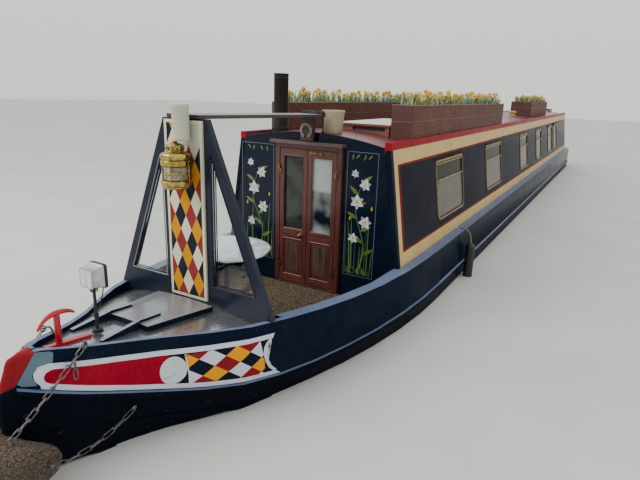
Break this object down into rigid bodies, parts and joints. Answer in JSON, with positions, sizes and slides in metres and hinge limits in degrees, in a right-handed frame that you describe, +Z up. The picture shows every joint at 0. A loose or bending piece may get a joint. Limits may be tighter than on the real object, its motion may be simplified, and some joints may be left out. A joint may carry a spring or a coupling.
{
  "type": "narrowboat",
  "caption": "Steel narrowboat with a well deck and glazed A-framed cratch at the bow, a long cabin, a traditional stern, rudder, tiller and propeller.",
  "frame": {"origin": "under the base plate, below the middle of the cabin's front bulkhead", "axes": "+X towards the bow, +Y to port, +Z up; the boat floats with Z 0.6 at the water's surface"},
  "size_m": [17.943, 2.2323, 2.772],
  "materials": {
    "blacking": "bitumen blacking, satin, scuffed",
    "hull_paint": "dark navy gloss with red, white and diamond panels at the bow",
    "deck_paint": "near-black gloss deck paint",
    "side_paint": "glossy charcoal panels with a cream border and a red line",
    "front_paint": "dark navy gloss with painted reeds and leaves",
    "roof_paint": "dull red, sanded; edge rails brighter",
    "mat": "brown and gold flecked mat",
    "floor_ply": "plain plywood",
    "window_brass": "gold-toned frames with dark glass",
    "door_wood": "varnished reddish-brown hardwood",
    "bronze": "cast bronze",
    "cratch_paint": "dark navy gloss on timber",
    "board_paint": "painted board with diamonds in mustard, red, white and navy",
    "cratch_glass": "clear panes",
    "plank_wood": "weathered brown plank",
    "cover_canvas": "rolled black cover",
    "lantern_brass": "polished, tarnished in its hollows",
    "pale_enamel": "grey-cream paint, weathered",
    "red_paint": "bright red gloss, worn on the horns",
    "lamp_steel": "dull silver housing",
    "cable_rubber": "matt black sheath",
    "coir": "knotted brown coir rope, wet and worn",
    "galvanised": "galvanised links, dull",
    "chimney_black": "matt black with bright bands",
    "planter_wood": "brown stained troughs with soil",
    "box_wood": "red-brown sides under a white top",
    "stoneware": "unglazed buff pot",
    "vent_brass": "polished",
    "table_iron": "white painted top on a dark foot",
    "fender_rubber": "black fender, hung on a cream rope",
    "engine_block": "plain block"
  },
  "bodies": {
    "hull": {"base_plate": "blacking", "fore_end": "hull_paint", "hull_side_port": "hull_paint", "hull_side_starboard": "hull_paint", "foredeck": "deck_paint", "well_floor": "mat", "cabin_floor": "floor_ply", "cabin_side_port": "side_paint", "cabin_side_starboard": "side_paint", "window_port_1": "window_brass", "window_port_2": "window_brass", "window_port_3": "window_brass", "window_port_4": "window_brass", "window_port_5": "window_brass", "window_port_6": "window_brass", "window_starboard_1": "window_brass", "window_starboard_2": "window_brass", "window_starboard_3": "window_brass", "window_starboard_4": "window_brass", "window_starboard_5": "window_brass", "window_starboard_6": "window_brass", "cabin_roof": "roof_paint", "cabin_front": "front_paint", "front_door_frame": "door_wood", "cabin_back": "front_paint", "back_door_frame": "door_wood", "stern": "hull_paint", "cratch_frame": "cratch_paint", "cratch_board": "board_paint", "cratch_glass_port": "cratch_glass", "cratch_glass_starboard": "cratch_glass", "top_plank": "plank_wood", "plank_bracket": "plank_wood", "rolled_cover": "cover_canvas", "lantern": "lantern_brass", "pale_lamp": "pale_enamel", "t_stud": "red_paint", "headlamp": "lamp_steel", "lamp_cable": "cable_rubber", "bow_fender": "coir", "fender_chain_port": "galvanised", "fender_chain_starboard": "galvanised", "chimney": "chimney_black", "planter_port": "planter_wood", "planter_starboard": "planter_wood", "planter_aft": "planter_wood", "roof_box": "box_wood", "pot": "stoneware", "mushroom_vent": "vent_brass", "table": "table_iron", "side_fender": "fender_rubber", "engine": "engine_block"},
    "locker_lid": {"locker_lid": "deck_paint"},
    "front_door_port": {"front_door_port": "door_wood"},
    "front_door_starboard": {"front_door_starboard": "door_wood"},
    "back_door_port": {"back_door_port": "door_wood"},
    "back_door_starboard": {"back_door_starboard": "door_wood"},
    "sliding_hatch": {"sliding_hatch": "front_paint"},
    "rudder": {"rudder": "blacking"},
    "propeller": {"propeller": "bronze"}
  },
  "joints": [
    {"name": "locker_lid_hinge", "type": "hinge", "parent": "hull", "child": "locker_lid", "pos_m": [2.13, 0, 1.26723], "axis": [0, 1, 0], "range_deg": [0, 85]},
    {"name": "front_door_port_hinge", "type": "hinge", "parent": "hull", "child": "front_door_port", "pos_m": [0.044, 0.3, 1.45], "axis": [0, 0, 1], "range_deg": [0, 110]},
    {"name": "front_door_starboard_hinge", "type": "hinge", "parent": "hull", "child": "front_door_starboard", "pos_m": [0.044, -0.3, 1.45], "axis": [0, 0, -1], "range_deg": [0, 110]},
    {"name": "back_door_port_hinge", "type": "hinge", "parent": "hull", "child": "back_door_port", "pos_m": [-13.944, 0.3, 1.7], "axis": [0, 0, -1], "range_deg": [0, 165]},
    {"name": "back_door_starboard_hinge", "type": "hinge", "parent": "hull", "child": "back_door_starboard", "pos_m": [-13.944, -0.3, 1.7], "axis": [0, 0, 1], "range_deg": [0, 165]},
    {"name": "hatch_slide", "type": "slide", "parent": "hull", "child": "sliding_hatch", "axis": [1, 0, 0], "range_m": [0, 0.6]},
    {"name": "rudder_turn", "type": "hinge", "parent": "hull", "child": "rudder", "pos_m": [-14.45, 0, 0.6], "axis": [0, 0, 1], "range_deg": [-35, 35]},
    {"name": "propeller_turn", "type": "hinge", "parent": "hull", "child": "propeller", "pos_m": [-14.2, 0, 0.3], "axis": [1, 0, 0], "continuous": true}
  ]
}
